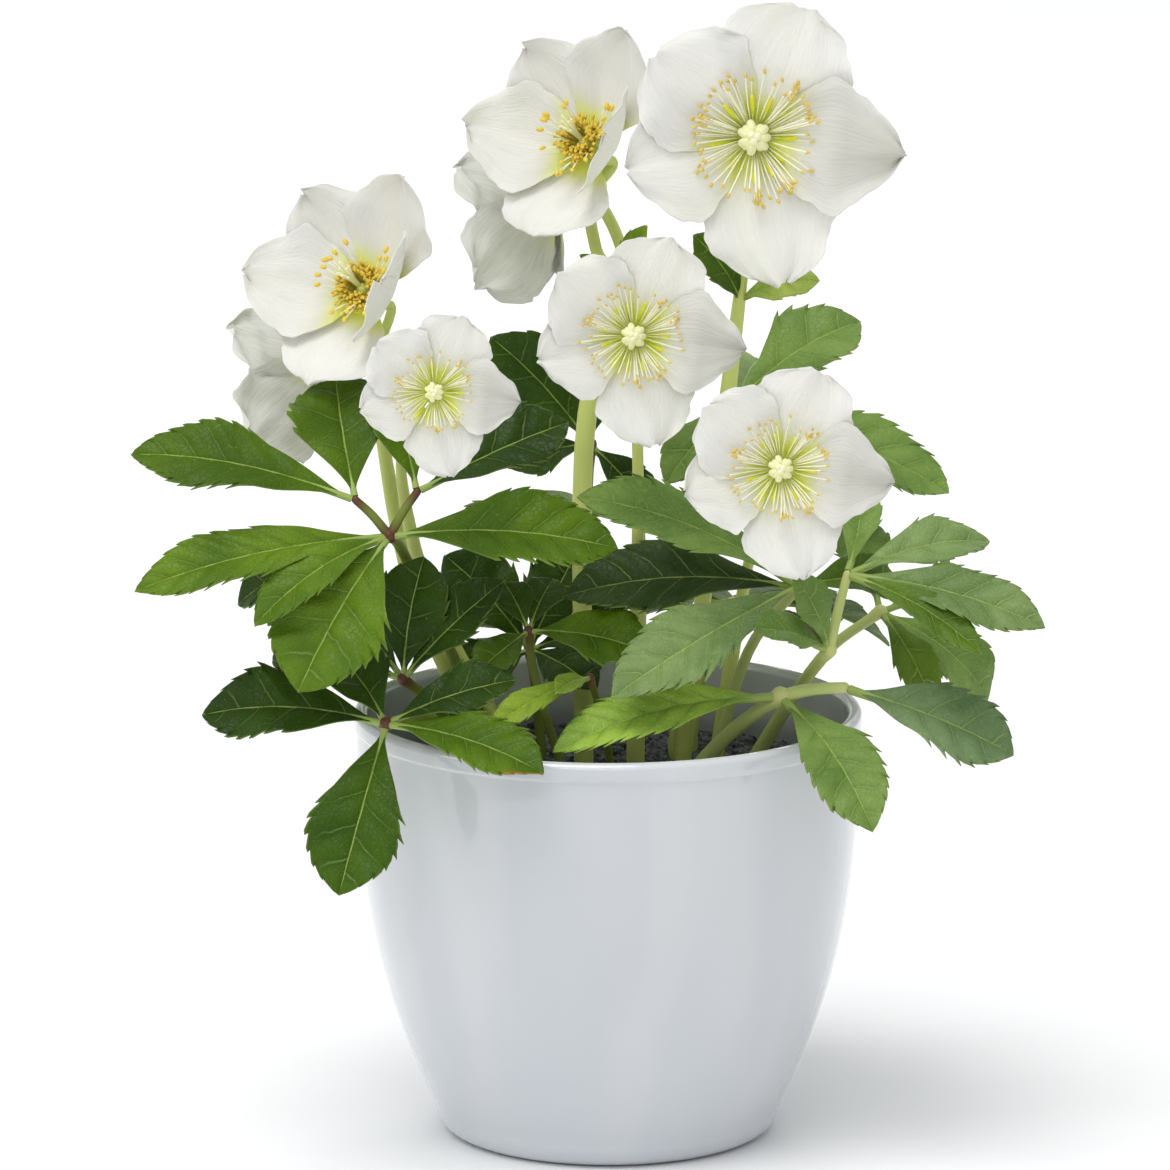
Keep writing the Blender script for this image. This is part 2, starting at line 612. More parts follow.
def stamen_rule(material):
    """Adds a ring of threads round Z, closer on some sides than on others, each tipped with an anther."""
    rule = Rule(
        "stamens", Count="Int", Root="Float", Reach="Float", Spread="Float", Sway="Float", Anther="Float",
        Thread="Float", Shortest="Float", Gold="Color", Silk="Color", Seed="Int",
    )
    graph = rule.graph
    root, reach, spread, seed = map(rule.read, ("Root", "Reach", "Spread", "Seed"))
    out, rise = reach * spread.maths("SINE"), reach * spread.maths("COSINE")
    tip = graph.vector(out, 0.0, rise)
    bend = graph.vector(out * 0.35, 0.0, rise * 0.62)
    line = graph.grow("CurveQuadraticBezier", Resolution=4, Start=(0, 0, 0), Middle=bend, End=tip)
    shade = graph.mix(graph.step(graph.grow("SplineParameter"), 0.0, 0.42), THREAD_FOOT, rule.read("Silk"))
    colour = {"data_type": "FLOAT_COLOR", "domain": "POINT"}
    line = graph.grow("StoreNamedAttribute", colour, Geometry=line, Name="tint", Value=shade)
    section = graph.grow("CurvePrimitiveCircle", Resolution=4, Radius=rule.read("Thread"))
    thread = graph.grow("CurveToMesh", Curve=line, Profile_Curve=section, Fill_Caps=True)
    anther = graph.grow("MeshUVSphere", Segments=6, Rings=5, Radius=rule.read("Anther"))
    shape = {"Translation": tip, "Rotation": (0, 1.1, 0.4), "Scale": (0.55, 0.62, 1.0)}
    anther = graph.grow("Transform", Geometry=anther, **shape)
    anther = graph.grow("StoreNamedAttribute", colour, Geometry=anther, Name="tint", Value=rule.read("Gold"))
    stamen = graph.grow("SetShadeSmooth", Geometry=graph.grow("JoinGeometry", Geometry=[thread, anther]))

    turn = graph.grow("InputIndex") * GOLDEN_ANGLE
    turn = turn + (turn * 3.0 + 1.0).maths("SINE") * 0.24 + (turn * 7.0 + 2.2).maths("SINE") * 0.15
    ring = graph.vector(root * turn.maths("COSINE"), root * turn.maths("SINE"), 0.0036)
    points = graph.grow("Points", Count=rule.read("Count"), Position=ring)
    tilt = graph.chance(-1.0, 1.0, seed) * rule.read("Sway")
    drift = graph.chance(-0.24, 0.24, seed + 1)
    size = graph.chance(rule.read("Shortest"), 1.0, seed + 2)
    angles = graph.vector(drift * 1.4, tilt, turn + drift)
    ring = graph.grow("InstanceOnPoints", Points=points, Instance=stamen, Rotation=angles, Scale=size)
    ring = graph.grow("RealizeInstances", Geometry=ring)
    ring = graph.grow("SetMaterial", Geometry=ring, Material=material)
    return rule.end(graph.grow("JoinGeometry", Geometry=[rule.read("Geometry"), ring]))


def crumb_rule(material):
    """Strews crumbs over the faces that look up."""
    rule = Rule("crumbs", Density="Float", Smallest="Float", Largest="Float", Seed="Int")
    graph = rule.graph
    piece, density, low, high, seed = map(rule.read, ("Geometry", "Density", "Smallest", "Largest", "Seed"))
    flat = graph.parts(graph.grow("InputNormal"))[2].maths("GREATER_THAN", 0.6)
    points = graph.grow("DistributePointsOnFaces", Mesh=piece, Selection=flat, Density=density, Seed=seed)
    ball = graph.grow("MeshIcoSphere", Radius=1.0, Subdivisions=1)
    rough = graph.node("ShaderNodeTexNoise", None, {"Scale": 1.3, "Detail": 2.0}, "Color")
    rough = graph.node("ShaderNodeVectorMath", {"operation": "SUBTRACT"}, [rough, (0.5, 0.5, 0.5)])
    ball = graph.grow("SetPosition", Geometry=ball, Offset=rough)
    size = graph.chance(0.0, 1.0, seed)
    size = low + (high - low) * size * size * size
    angles = {0: (0, 0, 0), 1: (6.28, 6.28, 6.28), "Seed": seed}
    angles = graph.node("FunctionNodeRandomValue", {"data_type": "FLOAT_VECTOR"}, angles)
    crumbs = graph.grow("InstanceOnPoints", Points=points, Instance=ball, Rotation=angles, Scale=size)
    whole = graph.grow("JoinGeometry", Geometry=[piece, crumbs])
    whole = graph.grow("RealizeInstances", Geometry=whole)
    return rule.end(graph.grow("SetMaterial", Geometry=whole, Material=material))


def add(name, data):
    """A new object in the scene, at the origin."""
    obj = bpy.data.objects.new(name, data)
    bpy.context.scene.collection.objects.link(obj)
    return obj


class Growth:
    """One piece as it grows: surfaces, and lines that become stalks, with what its finish reads."""

    def __init__(self):
        self.points, self.tints, self.marks, self.widths = [], [], [], []
        self.faces, self.edges = [], []
        self.count = 0

    def take(self, points, tints, marks, widths):
        """Adds points, with a tint, a mark and a thickness for each or for all."""
        number = len(points)
        self.points.append(points)
        self.tints.append(np.broadcast_to(tints, (number, 3)))
        self.marks.append(np.broadcast_to(marks, (number, 3)))
        self.widths.append(np.broadcast_to(widths, number))
        self.count += number
        return self.count - number

    def sheet(self, middle, thickness, tints, marks):
        """A closed skin round a grid of points: tints and marks are given for its face and its back."""
        rows, columns = middle.shape[:2]
        normal = np.cross(np.gradient(middle, axis=0), np.gradient(middle, axis=1))
        normal /= np.linalg.norm(normal, axis=2, keepdims=True) + 1e-12
        half = normal * np.broadcast_to(thickness, (rows, columns))[..., None] / 2
        upper, lower = [
            self.take((middle + half * way).reshape(-1, 3), tint, mark.reshape(-1, 3), 0)
            for way, tint, mark in zip((1, -1), tints, marks)
        ]
        grid = np.arange(rows * columns).reshape(rows, columns)
        quads = np.stack([grid[:-1, :-1], grid[1:, :-1], grid[1:, 1:], grid[:-1, 1:]], axis=-1).reshape(-1, 4)
        rim = np.concatenate([grid[:-1, 0], grid[-1, :-1], grid[:0:-1, -1], grid[0, :0:-1]])
        after = np.roll(rim, -1)
        self.faces.append(quads + upper)
        self.faces.append(quads[:, ::-1] + lower)
        self.faces.append(np.stack([after + upper, rim + upper, rim + lower, after + lower], axis=-1))

    def stalk(self, points, widths, tints):
        """A line that becomes a stalk, rounded at its far end."""
        points, widths = np.array(points, float), np.array(widths, float)
        tints = np.broadcast_to(tints, points.shape)
        way = points[-1] - points[-2]
        way /= np.linalg.norm(way)
        bulge = widths[-1] * np.array([[0.5], [0.85], [1.0]]) * way
        points = np.vstack([points, points[-1] + bulge])
        widths = np.append(widths, widths[-1] * np.array([0.87, 0.5, 0.04]))
        tints = np.vstack([tints, np.repeat(tints[-1:], 3, axis=0)])
        start = self.take(points, tints, (0, 0, 0), widths)
        line = np.arange(start, start + len(points))
        self.edges.append(np.stack([line[:-1], line[1:]], axis=-1))

    def mesh(self, name, mark):
        """The points, faces and lines as a Blender object."""
        mesh = bpy.data.meshes.new(name)
        edges, faces = [np.vstack(parts).tolist() if parts else [] for parts in (self.edges, self.faces)]
        mesh.from_pydata(np.vstack(self.points).tolist(), edges, faces)
        tints = np.hstack([np.vstack(self.tints), np.ones((self.count, 1))])
        for label, kind, field, values in (
            ("tint", "FLOAT_COLOR", "color", tints),
            (mark, "FLOAT_VECTOR", "vector", np.vstack(self.marks)),
            ("thickness", "FLOAT", "value", np.concatenate(self.widths)),
        ):
            layer = mesh.attributes.new(label, kind, "POINT")
            layer.data.foreach_set(field, np.ascontiguousarray(values, np.float32).ravel())
        mesh.shade_smooth()
        return add(name, mesh)


def plain_mesh(obj):
    """What an object's modifiers make of it, as a mesh of its own."""
    bpy.context.view_layer.update()
    return bpy.data.meshes.new_from_object(obj.evaluated_get(bpy.context.evaluated_depsgraph_get()))


def settle(obj, node, turn=None):
    """Makes the finished piece a plain mesh in place, which stands for its solid if it has one."""
    mesh = plain_mesh(obj)
    if turn is not None:
        mesh.transform(turn)
    obj.modifiers.clear()
    obj.data = mesh
    obj.name = f"{node}_finished"
    mesh.name = obj.name
    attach(obj, "root")
    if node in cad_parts:
        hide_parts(node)


def unit(vector):
    """A vector's direction, with a length of 1."""
    vector = np.array(vector, float)
    return vector / np.linalg.norm(vector)


def level(angle):
    """The level direction at an angle from +X."""
    return np.array((math.cos(angle), math.sin(angle), 0))


def smooth(points, per_span):
    """Points along a curve that passes through these points."""
    points = np.array([tuple(point) for point in points], float)
    ends = np.vstack([2 * points[0] - points[1], points, 2 * points[-1] - points[-2]])
    t = np.linspace(0, 1, per_span, endpoint=False)[:, None]
    spans = [
        (2 * b + (c - a) * t + (2 * a - 5 * b + 4 * c - d) * t**2 + (3 * b - a - 3 * c + d) * t**3) / 2
        for a, b, c, d in zip(ends, ends[1:], ends[2:], ends[3:])
    ]
    return np.vstack([*spans, points[-1:]])


def stalk_path(root, points):
    """A curve through the points that stands upright in its hole and where it leaves the soil."""
    upright = [(*root, SOIL_TOP - ROOT_DEPTH), (*root, SOIL_TOP)]
    return np.vstack([upright, smooth([(*root, SOIL_TOP + STRAIGHT_RISE), *points], 6)])


def blade_half_width(u):
    """The outline of a leaflet: a wedge at its foot, widest past the middle, with a pointed tip."""
    widest = BLADE_FOOT / (BLADE_FOOT + BLADE_TIP)
    return (u / widest) ** BLADE_FOOT * ((1 - u) / (1 - widest)) ** BLADE_TIP


def toothed_rows(teeth):
    """Places along a leaflet, and how far out its edge is in its tooth at each, from 0 to 1."""
    pitch = (LAST_TOOTH - FIRST_TOOTH) / teeth
    shares = np.array([0, 0.32, 0.64, 0.95])
    toothed = (FIRST_TOOTH + pitch * (np.arange(teeth)[:, None] + shares)).ravel()
    foot = np.linspace(0, FIRST_TOOTH, 9, endpoint=False)
    tip = np.linspace(LAST_TOOTH, 1, 6)
    out = np.concatenate([np.zeros(len(foot)), np.tile(shares**1.2, teeth), np.zeros(len(tip))])
    return np.concatenate([foot, toothed, tip]), out


BLADE_COLUMNS = np.array([0, 0.05, 0.12, 0.26, 0.42, 0.58, 0.72, 0.84, 0.93, 1])
BLADE_COLUMNS = np.concatenate([-BLADE_COLUMNS[:0:-1], BLADE_COLUMNS])


def make_leaflet(growth, base, plan, light, tint, draw, stalk_width):
    """A toothed, veined, arched blade from base to tip, with its midrib beneath."""
    base, tip = np.array(base, float), np.array(plan.tip, float)
    along = tip - base
    length = np.linalg.norm(along)
    forward = along / length
    face = unit(np.array(light) - forward * np.dot(light, forward))
    side = np.cross(face, forward)
    teeth = max(3, min(9, round(length / TOOTH_PITCH)))
    rows, out = toothed_rows(teeth)
    r, saw = rows[:, None], out[:, None]
    v = BLADE_COLUMNS[None, :]
    a = np.abs(v)
    size = plan.width / USUAL_WIDTH
    irregular = 1 + 0.35 * np.sin(9.1 * r * teeth + draw.uniform(0, 6) + np.sign(v))
    edge = saw * np.clip((a - 0.78) / 0.22, 0, 1) ** 1.5 * irregular
    u = np.clip(r + VEIN_LEAN * 4 * r * (1 - r) * a + TOOTH_REACH * edge, 0, 1)
    half = np.maximum(plan.width / 2 * blade_half_width(u), BLADE_HALF_MIN * (1.02 - u))
    x = v * half * (1 + TOOTH_DEPTH * edge)
    lanes = max(3, round(length / VEIN_PITCH))
    lane = r * lanes + 0.4 * (v < 0)
    swell = (0.5 - 0.5 * np.cos(math.tau * (lane - 0.5))) * np.sin(np.pi * np.clip(a * 0.92, 0, 1)) ** 0.7
    swell = swell * np.clip(half / (plan.width / 2), 0, 1)
    groove = np.exp(-((x / 0.0009) ** 2)) * np.clip(u * 4, 0, 1)
    beat, phase = draw.uniform(1.6, 2.6), draw.uniform(0, math.tau)
    wave = a**2 * np.sin(math.tau * beat * u + phase + 1.7 * (v > 0)) * half / (plan.width / 2)
    bend = draw.uniform(-0.03, 0.03) * length * 4 * u * (1 - u)
    twist = math.radians(draw.uniform(-9, 9)) * (u - 0.3)
    lift = LEAF_FOLD * half * a**1.3 + QUILTING * size * swell - GROOVE * groove + WAVE * size * wave
    x, lift = x * np.cos(twist) - lift * np.sin(twist), lift * np.cos(twist) + x * np.sin(twist)
    middle = base + along * u[..., None] + side * (x + bend)[..., None]
    middle = middle + face * (lift + length * plan.arch * 4 * u * (1 - u))[..., None]
    marks = np.stack(np.broadcast_arrays(lane, a, v * half * 1000 * (0.8 + 1.4 * u)), axis=-1)
    thickness = LEAF_THICKNESS * (1 - 0.45 * a**3) + 0 * r
    tint = tint * draw.uniform(0.88, 1.14)
    dry = plan.scorch * np.clip((a - 0.84) / 0.12, 0, 1) * np.clip((r - 0.66) / 0.14, 0, 1) * (v < 0)
    tint = tint + (SCORCH - tint) * dry.reshape(-1, 1)
    growth.sheet(middle, thickness, (tint, UNDERSIDE * 0.9), (marks, marks))

    centre = middle[:, BLADE_COLUMNS.size // 2]
    share = np.linspace(0, 1, len(centre))
    keep = rows < 0.93
    width = stalk_width * (1 - share) ** 1.3 + RIB_END
    under = centre - face * (width - RIB_END)[:, None] * np.clip(share * 6, 0, 1)[:, None]
    growth.stalk(under[keep], width[keep], MIDRIB * 0.85)


def tint_towards(points, colour, spots, spot_colour, reach=0.0045):
    """The colour of a stalk, turning to another near some spots."""
    tints = np.repeat(colour[None, :], len(points), axis=0)
    for spot in spots:
        near = np.exp(-((np.linalg.norm(points - np.array(spot), axis=1) / reach) ** 2))[:, None]
        tints = tints * (1 - near) + spot_colour * near
    return tints


def make_leaf(leaf, light, rule, draw):
    """A stalk from the soil to its first joint, arms to the others, and leaflets from each."""
    growth = Growth()
    joints = [np.array(joint) for joint in leaf.joints]
    left = joints[0][0] < 0
    colours = (OLIVE_STALK, joints, BROWN_JOINT) if left else (PALE_STALK, joints, PALE_JOINT)
    path = stalk_path(leaf.root, [*leaf.via, joints[0]])
    swelling = 0.35 * np.exp(-((np.linalg.norm(path - joints[0], axis=1) / 0.003) ** 2))
    widths = leaf.radius * (1 - 0.15 * np.linspace(0, 1, len(path)) + swelling)
    growth.stalk(path, widths, tint_towards(path, *colours))
    for joint in joints[1:]:
        arm = smooth([joints[0], (joints[0] + joint) / 2 + UP * 0.0008, joint], 6)
        widths = leaf.radius * np.linspace(JOINT_TAPER, BRANCH_TAPER * 1.1, len(arm))
        growth.stalk(arm, widths, tint_towards(arm, *colours))
    for plan in leaf.leaflets:
        joint = joints[plan.joint]
        start = joint + unit(np.array(plan.tip) - joint) * leaf.radius * BRANCH_TAPER
        tint = leaf.tint if plan.tint is None else plan.tint
        make_leaflet(growth, start, plan, light, tint, draw, leaf.radius * 0.5)
    obj = growth.mesh(leaf.name, "blade")
    rule.use(obj, Sides=10)
    settle(obj, leaf.name)


def rear_leaves():
    """The leaves that the front doesn't show, fanned by rule with small seeded differences."""
    draw = random.Random(REAR_SEED)
    for number, bearing in enumerate(REAR_BEARINGS):
        out = level(math.radians(bearing))
        rise = REAR_RISES[number % 2]
        joint = out * REAR_REACH + UP * rise
        leaflets = []
        for fan, length in REAR_FAN:
            heading = math.radians(bearing + fan + draw.uniform(-4, 4))
            pitch = math.radians(REAR_PITCH + draw.uniform(-4, 4))
            size = length * draw.uniform(0.95, 1.05)
            reach = level(heading) * math.cos(pitch) + UP * math.sin(pitch)
            leaflets.append(Leaflet(0, joint + reach * size, size * REAR_WIDTH, arch=0.12))
        root = tuple(out[:2] * REAR_ROOT_REACH)
        via = [out * (REAR_ROOT_REACH + 0.006) + UP * (SOIL_TOP + (rise - SOIL_TOP) * 0.6)]
        leaf = Leaf(f"leaf_rear_{number + 1}", root, via, [joint], 0.0020, GREEN, leaflets)
        yield leaf, tuple(out * REAR_LEAN + UP)


def bloom_frame(bloom):
    """A bloom's place and turn: X is right and Y is up for someone it faces, and Z is its axis."""
    axis = Vector(bloom.facing).normalized()
    right = Vector((0, 0, 1)).cross(axis).normalized()
    turn = Matrix((right, axis.cross(right), axis)).transposed()
    return Matrix.Translation(bloom.centre) @ turn.to_4x4()


def sepal_share(u, shoulder, blunt):
    """A sepal's half width along its length: a narrow root, a full middle and a blunt or pointed tip."""
    outline = [(0, 0.14), (0.24, 0.66), (0.50, 0.97), (0.66, 0.53 + shoulder / 2), (0.80, shoulder)]
    outline = smooth([*outline, (0.92, shoulder * (0.64 + blunt / 2)), (1, 0.05 + blunt)], 8)
    return np.interp(u, outline[:, 0], outline[:, 1])


def make_sepal(growth, bloom, sepal, draw):
    """One sepal on the bloom's cup, with ragged, waved edges, a keel and soft folds from its root."""
    rows, columns = 42, 31
    s = np.linspace(0, 1, rows)[:, None]
    u = 1 - (1 - s) ** 1.5
    v = np.sin(np.linspace(-1, 1, columns) * np.pi / 2)[None, :]
    a = np.abs(v)
    length = bloom.size * sepal.length
    layer = sepal.layer * LAYER_ANGLE
    start = math.radians(bloom.shape.cup + layer)
    end = math.radians(bloom.shape.reflex + layer + sepal.lift + 0.01)
    bend = (end - start) / bloom.size
    phases = [draw.uniform(0, math.tau) for _ in range(6)]
    nodding = bloom.shape is NODDING
    blunt = max(0, sepal.shoulder - POINTED)

    ragged = 0.040 * np.sin(9 * u + phases[0] + 2.1 * np.sign(v))
    ragged = ragged + 0.026 * np.sin(22 * u + phases[1] + np.sign(v)) + 0.013 * np.sin(49 * u + phases[3])
    half = bloom.width / 2 * sepal_share(u, sepal.shoulder, blunt) * (1 + ragged * a**3)
    scallop = 0.016 * np.sin(4.2 * v + phases[2]) * (blunt > 0) + 0.006 * np.sin(9 * v + phases[1])
    rounding = 0.012 * np.exp(-((v / 0.3) ** 2)) * (blunt == 0) - TIP_ROUNDING * (0.05 + blunt) * v**2
    reach = SEPAL_ROOT + (length - SEPAL_ROOT) * u * (1 + (scallop + rounding) * u**6)
    spread = np.hypot(reach, half * v * ROUNDNESS)
    angle = start + bend * spread
    radial = (np.sin(angle) - math.sin(start)) / bend * reach / spread
    rise = (math.cos(start + bend * SEPAL_ROOT) - np.cos(angle)) / bend + sepal.layer * LAYER_STEP

    scale = bloom.size / LARGEST_BLOOM
    frill = 0.0016 * scale * a**4 * u * np.sin(17 * u + phases[3] + 1.3 * np.sign(v))
    folds = 0.0009 * u * np.sin(5.5 * v + phases[4]) + 0.0003 * u * np.sin(14 * v + phases[5])
    if nodding:
        folds = folds * 1.5 + 0.0009 * u * np.sin(9 * v + 7 * u + phases[0])
        folds = folds + 0.0006 * np.sin(19 * u - 5 * v + phases[2])
    keel = -0.0004 * scale * np.exp(-((v / 0.12) ** 2)) * np.sin(np.pi * np.clip(u, 0, 1))
    ripple = RIPPLE * length * u**4 * np.sin(3 * v + sepal.direction)
    height = rise + ripple + frill + folds * scale + keel
    out = level(math.radians(sepal.direction))
    beside = np.cross(UP, out)
    middle = out * radial[..., None] + beside * (half * v)[..., None] + UP * height[..., None]

    backs = (0, 1) if nodding else (0, 0.1)
    marks = [np.stack(np.broadcast_arrays(u, v + sepal.direction, 0 * u + back), axis=-1) for back in backs]
    heart = 0.16 if bloom.shape is CUPPED else 0.05
    tone = 1 - (1 - sepal.shade) * np.clip((u - 0.2) / 0.4, 0, 1) * (1 - 0.5 * a**2) - heart * (1 - u) ** 1.5
    tone = np.broadcast_to(tone, (rows, columns)).reshape(-1, 1)
    growth.sheet(middle, SEPAL_THICKNESS * (1 - 0.4 * a**2) + 0 * u, (tone, tone), marks)


def make_sepals(bloom, material, draw):
    """A bloom's five sepals, in one piece."""
    growth = Growth()
    for sepal in bloom.shape.sepals:
        make_sepal(growth, bloom, sepal, draw)
    obj = growth.mesh(bloom.name, "petal")
    obj.data.materials.append(material)
    settle(obj, f"sepals_{bloom.name}", bloom_frame(bloom))


def make_stamens(bloom, stalks, stamens, seed):
    """A ring of nectaries, then the stamens: spread wide, or a packed head with a few that lead."""
    growth = Growth()
    scale = bloom.size / LARGEST_BLOOM
    spread_wide = bloom.shape is OPEN
    draw = random.Random(seed)
    tubes = 11 if spread_wide else 8
    for number in range(tubes):
        out = level(math.tau * (number + draw.uniform(-0.25, 0.25)) / tubes)
        root = out * NECTARY_RING + UP * NECTARY_LEVEL
        way = out * 0.79 + UP * 0.61
        length = draw.uniform(0.0100, 0.0134) * scale if spread_wide else 0.0052
        points = [root + way * length * t for t in (0, 0.4, 0.8, 1.0)]
        growth.stalk(points, NECTARY_WIDTHS * scale, NECTARY_TINTS)
    obj = growth.mesh(bloom.name, "mark")
    stalks.use(obj, Sides=7)
    reach = bloom.size * STAMEN_REACH
    leading = dict(
        Count=bloom.stamens, Root=0.0040 * scale**0.5, Reach=reach * 1.02, Sway=0.20, Shortest=0.80,
        Spread=math.radians(bloom.shape.spread + 11), Anther=0.00108 * scale, Thread=0.00029 * scale,
        Gold=(*OPEN_GOLD, 1), Silk=(*SILK, 1), Seed=seed,
    )
    if not spread_wide:
        leading.update(Reach=reach * 0.92, Anther=0.00170 * scale, Gold=(*LEADING_GOLD, 1))
    stamens.use(obj, **leading)
    if not spread_wide:
        packed = dict(leading, Count=320, Root=0.0034, Reach=reach * 0.50, Spread=math.radians(24))
        packed.update(Sway=0.44, Anther=0.00124 * scale, Shortest=0.62, Seed=seed + 5)
        packed.update(Gold=(*PACKED_GOLD, 1), Silk=(*PACKED_SILK, 1))
        stamens.use(obj, **packed)
    settle(obj, f"stamens_{bloom.name}", bloom_frame(bloom))


def draw_carpels(growth, bloom, turn):
    """The middle of a bloom: a rosette of lobes round a knob, or slim styles that lean together."""
    slim = bloom.shape is not OPEN
    scale = bloom.size / LARGEST_BLOOM
    foot = UP * CARPEL_FOOT
    lobes = []
    count = 9 if slim else 11
    for index in range(count):
        heading = math.tau * (index + 0.28 * math.sin(index * 2.3)) / count
        out = level(heading) * (1 - 0.12 * math.sin(index * 3.7)) * scale
        if slim:
            reach, rise = (0.0004, 0.0007, 0.0024), (0, 0.0080, 0.0150 - 0.0014 * (index % 3))
        else:
            reach, rise = (0.0006, 0.0025, 0.0041), (0.0044, 0.0054, 0.0036)
        lobes.append([foot + out * r + STYLE_LEAN * z * slim + UP * z * scale for r, z in zip(reach, rise)])
    if not slim:
        lobes.append([foot, foot + UP * 0.0024 * scale, foot + UP * 0.0048 * scale])
        for slope in ((0.0010, 0.0004, 0), (-0.0008, 0.0009, 0), (-0.0001, -0.0011, 0)):
            top = foot + np.array(slope) * scale
            lobes.append([foot + UP * 0.003 * scale, top + UP * 0.0050 * scale, top + UP * 0.0066 * scale])
    for index, points in enumerate(lobes):
        path = smooth(points, 5)
        share = np.linspace(0, 1, len(path))[:, None]
        thick = 0.00058 if slim else 0.00150 * (1.5 if index == count else 1)
        widths = thick * scale * (0.72 + 0.34 * np.sin(np.pi * 0.75 * share[:, 0]))
        path = np.array([turn @ Vector(point) for point in path])
        growth.stalk(path, widths, CARPEL_GREEN * (1 - share) + CARPEL_CREAM * share)


def make_stem(stem, rule, draw):
    """A stem that forks where the real one does. Each stalk widens under its bloom and bears its carpels."""
    growth = Growth()
    fork = stem.via[-1]
    nodes = [fork] if "b_back" in stem.branches else []
    slim = stem.radius * BRANCH_SHARE
    for name, via in stem.branches.items():
        bloom = BLOOMS[name]
        turn = bloom_frame(bloom)
        arrival = [*via, turn @ Vector((0, 0, -NOD)), turn @ Vector((0, 0, HEART_FOOT))]
        if growth.count:
            path = smooth([fork, *arrival], 6)
            thick = 0
        else:
            path = stalk_path(stem.root, [*stem.via, *arrival])
            thick = 2 + 6 * len(stem.via)
        widths = np.where(np.arange(len(path)) < thick, stem.radius, slim)
        widths = np.convolve(np.pad(widths, 2, mode="edge"), np.ones(5) / 5, mode="valid")
        widths[-1] = slim * 1.05
        tints = tint_towards(path, STALK, nodes, BROWN_JOINT, 0.005)
        tip = np.array([turn @ Vector((0, 0, height)) for height, _ in HEART])
        path = np.vstack([path, tip])
        widths = np.append(widths, [width for _, width in HEART])
        tints = np.vstack([tints, np.repeat(STALK[None, :], len(tip), axis=0)])
        growth.stalk(path, widths, tints)
        draw_carpels(growth, bloom, turn)
    for bract in stem.bracts:
        make_leaflet(growth, stem.via[bract.joint], bract, FRONT_LIGHT, bract.tint, draw, 0.0007)
    obj = growth.mesh(stem.name, "blade")
    rule.use(obj, Sides=14)
    settle(obj, stem.name)


def belly(t):
    """(radius, height) of the pot's long outer curve, from the neck at t 0 to the foot at t 1."""
    points = ((NECK_RADIUS, POT_HEIGHT - LIP_HEIGHT), *BELLY_PULLS, (FOOT_RADIUS, FOOT_HEIGHT))
    weights = ((1 - t) ** 3, 3 * (1 - t) ** 2 * t, 3 * (1 - t) * t**2, t**3)
    return tuple(sum(w * point[axis] for w, point in zip(weights, points)) for axis in (0, 1))


def inner_radius(height):
    """The pot's inside radius at a height, one wall in from the belly curve."""
    curve = np.array([belly(t) for t in np.linspace(1, 0, 60)])
    return float(np.interp(height, curve[:, 1], curve[:, 0])) - WALL


def turned(name, profile):
    """A body turned about Z from a profile that starts and ends on the axis, closed and facing out."""
    mesh = bpy.data.meshes.new(name)
    mesh.from_pydata([(r, 0, z) for r, z in profile], [(i, i + 1) for i in range(len(profile) - 1)], [])
    obj = add(name, mesh)
    spin = obj.modifiers.new("spin", "SCREW")
    spin.steps = spin.render_steps = TURNS
    spin.use_merge_vertices = True
    spin.merge_threshold = MERGE
    whole = plain_mesh(obj)
    obj.modifiers.clear()
    obj.data = whole
    bm = bmesh.new()
    bm.from_mesh(whole)
    bmesh.ops.remove_doubles(bm, verts=bm.verts, dist=MERGE)
    bmesh.ops.recalc_face_normals(bm, faces=bm.faces)
    bm.to_mesh(whole)
    bm.free()
    whole.shade_smooth()
    return obj


def make_pot(material):
    """The glazed pot: rounded lip, a soft step under it, one long belly and a rounded foot."""
    lip = [
        (LIP_RADIUS + LIP_HALF * (math.cos(angle) - 1), POT_HEIGHT + LIP_HALF * (math.sin(angle) - 1))
        for angle in np.linspace(math.pi, 0, 15)
    ]
    top = POT_HEIGHT - LIP_HEIGHT + LIP_STEP + 0.0004
    drop = LIP_RADIUS - NECK_RADIUS
    step = [
        (NECK_RADIUS + drop * (0.5 + 0.5 * math.cos(math.pi * t)), top - 0.0013 * t)
        for t in np.linspace(0, 0.95, 8)
    ]
    inside = [(inner_radius(z), z) for z in np.linspace(INSIDE_FOOT, INSIDE_TOP, 22)]
    outside = [belly(t) for t in np.linspace(0, 1, 44)]
    foot = [
        (BASE_RADIUS + (FOOT_RADIUS - BASE_RADIUS) * math.sin(angle), FOOT_HEIGHT * (1 - math.cos(angle)))
        for angle in np.linspace(math.pi / 2, 0, 12)[1:]
    ]
    corner = (inner_radius(INSIDE_FOOT) - FLOOR_SLOPE, FLOOR)
    obj = turned("pot_body", [(0, FLOOR), corner, *inside, *lip, *step, *outside, *foot, (0, 0)])
    obj.data.materials.append(material)
    obj.data.set_sharp_from_angle(angle=math.radians(50))
    settle(obj, "pot")


